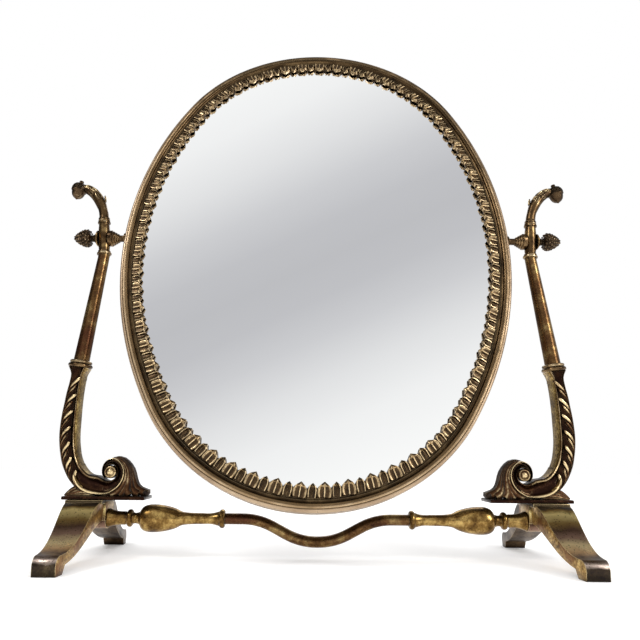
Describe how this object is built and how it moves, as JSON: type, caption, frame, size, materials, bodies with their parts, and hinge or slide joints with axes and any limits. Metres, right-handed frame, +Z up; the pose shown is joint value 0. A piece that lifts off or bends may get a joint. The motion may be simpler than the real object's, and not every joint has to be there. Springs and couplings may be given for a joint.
{
  "type": "dressing table swing mirror",
  "caption": "Oval dressing-table mirror in cast bronze that tilts on two turned pivots between scrolled standards with acorn arms, on bridge feet and a turned stretcher.",
  "frame": {"origin": "middle of the footprint, on the table that the feet stand on", "axes": "+X to the viewer's right, +Y away from the viewer, +Z up"},
  "size_m": [0.504, 0.1892, 0.5522],
  "materials": {
    "frame_bronze": "aged, worn bright on the edges",
    "leaf_bronze": "aged, dark in the hollows, bright on the ribs",
    "cast_bronze": "aged cast bronze",
    "foot_bronze": "aged cast bronze, olive to grey-mauve",
    "stem_copper": "deep reddish-brown patina",
    "turned_brass": "aged turned brass",
    "baluster_brass": "golden, speckled",
    "mirror_glass": "silvered plate glass",
    "packing_felt": "felt sheet",
    "board_wood": "stained board",
    "hidden_steel": "dull steel"
  },
  "bodies": {
    "stand": {"foot_left": "foot_bronze", "foot_right": "foot_bronze", "plate_screws_left": "hidden_steel", "plate_screws_right": "hidden_steel", "scroll_console_left": "cast_bronze", "scroll_console_right": "cast_bronze", "collar_left": "turned_brass", "collar_right": "turned_brass", "stem_left": "stem_copper", "stem_right": "stem_copper", "joint_studs_left": "hidden_steel", "joint_studs_right": "hidden_steel", "pivot_block_left": "turned_brass", "pivot_block_right": "turned_brass", "crozier_left": "cast_bronze", "crozier_right": "cast_bronze", "stretcher_baluster_left": "baluster_brass", "stretcher_baluster_right": "baluster_brass", "stretcher_bolt_left": "hidden_steel", "stretcher_bolt_right": "hidden_steel", "stretcher_rod": "stem_copper"},
    "mirror": {"frame_rim": "frame_bronze", "leaf_band": "leaf_bronze", "mirror_glass": "mirror_glass", "packing_sheet": "packing_felt", "back_board": "board_wood", "back_clips": "turned_brass", "clip_screws": "hidden_steel", "trunnion_left": "turned_brass", "trunnion_right": "turned_brass"},
    "washer_left": {"domed_washer_left": "turned_brass"},
    "washer_right": {"domed_washer_right": "turned_brass"},
    "nut_left": {"finial_nut_left": "turned_brass"},
    "nut_right": {"finial_nut_right": "turned_brass"}
  },
  "joints": [
    {"name": "mirror_tilt", "type": "hinge", "parent": "stand", "child": "mirror", "pos_m": [0, 0, 0.3016], "axis": [1, 0, 0], "continuous": true},
    {"name": "nut_travel_left", "type": "slide", "parent": "mirror", "child": "washer_left", "axis": [-1, 0, 0], "range_m": [0, 0.0035]},
    {"name": "nut_turn_left", "type": "hinge", "parent": "washer_left", "child": "nut_left", "pos_m": [-0.2143, 0, 0.3016], "axis": [-1, 0, 0], "range_deg": [0, 1080]},
    {"name": "nut_travel_right", "type": "slide", "parent": "mirror", "child": "washer_right", "axis": [1, 0, 0], "range_m": [0, 0.0035]},
    {"name": "nut_turn_right", "type": "hinge", "parent": "washer_right", "child": "nut_right", "pos_m": [0.2143, 0, 0.3016], "axis": [1, 0, 0], "range_deg": [0, 1080]}
  ],
  "couplings": [
    {"joint": "nut_travel_left", "follows": "nut_turn_left", "m_per_rad": 0.00015915},
    {"joint": "nut_travel_right", "follows": "nut_turn_right", "m_per_rad": 0.00015915}
  ]
}
